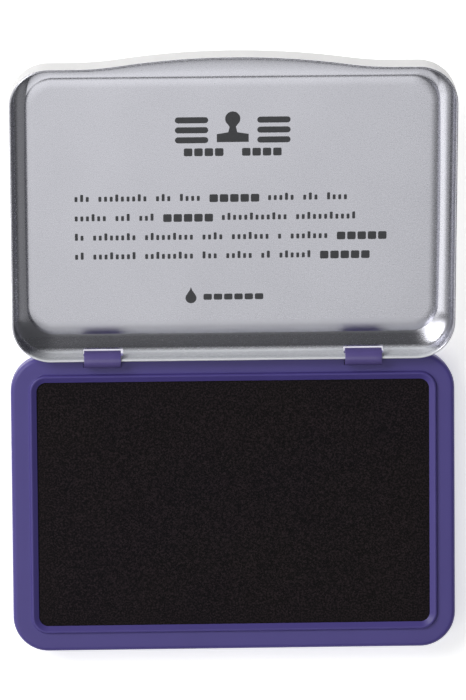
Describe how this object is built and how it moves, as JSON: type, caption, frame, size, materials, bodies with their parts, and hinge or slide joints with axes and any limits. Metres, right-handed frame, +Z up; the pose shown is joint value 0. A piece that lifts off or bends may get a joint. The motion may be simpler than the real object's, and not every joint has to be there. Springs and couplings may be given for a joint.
{
  "type": "ink pad",
  "caption": "Ink pad in a shallow sheet-metal tin: a cloth-covered felt pad set in a raised bead, under a stepped lid that turns back on curled sheet tongues.",
  "frame": {"origin": "centre of the flat underside of the base", "axes": "+Z up out of the pad, +Y towards the hinge and the opened lid, +X to the right along the hinge"},
  "size_m": [0.121, 0.1649, 0.0303],
  "materials": {
    "tinplate": "bare satin tinplate, fine rolled grain",
    "white_coating": "white stoving enamel on the outside of the lid",
    "purple_enamel": "semi-gloss violet stoving enamel",
    "print_ink": "dark printing ink on tinplate",
    "inked_cloth": "fine plain-weave cotton soaked with black ink",
    "inked_felt": "pressed wool felt soaked with ink",
    "tray_plastic": "moulded, matt",
    "fibreboard": "dense brown fibreboard"
  },
  "bodies": {
    "base": {"base_shell": "purple_enamel", "bottom_plate": "tinplate", "hinge_tongue_left": "purple_enamel", "hinge_tongue_right": "purple_enamel", "ink_cloth": "inked_cloth", "felt_upper": "inked_felt", "felt_lower": "inked_felt", "ink_tray": "tray_plastic", "backing_board": "fibreboard"},
    "lid": {"lid": "tinplate"}
  },
  "joints": [
    {"name": "lid_hinge", "type": "hinge", "parent": "base", "child": "lid", "pos_m": [0, 0.04, 0.01008], "axis": [1, 0, 0], "range_deg": [0, 167.5]}
  ]
}
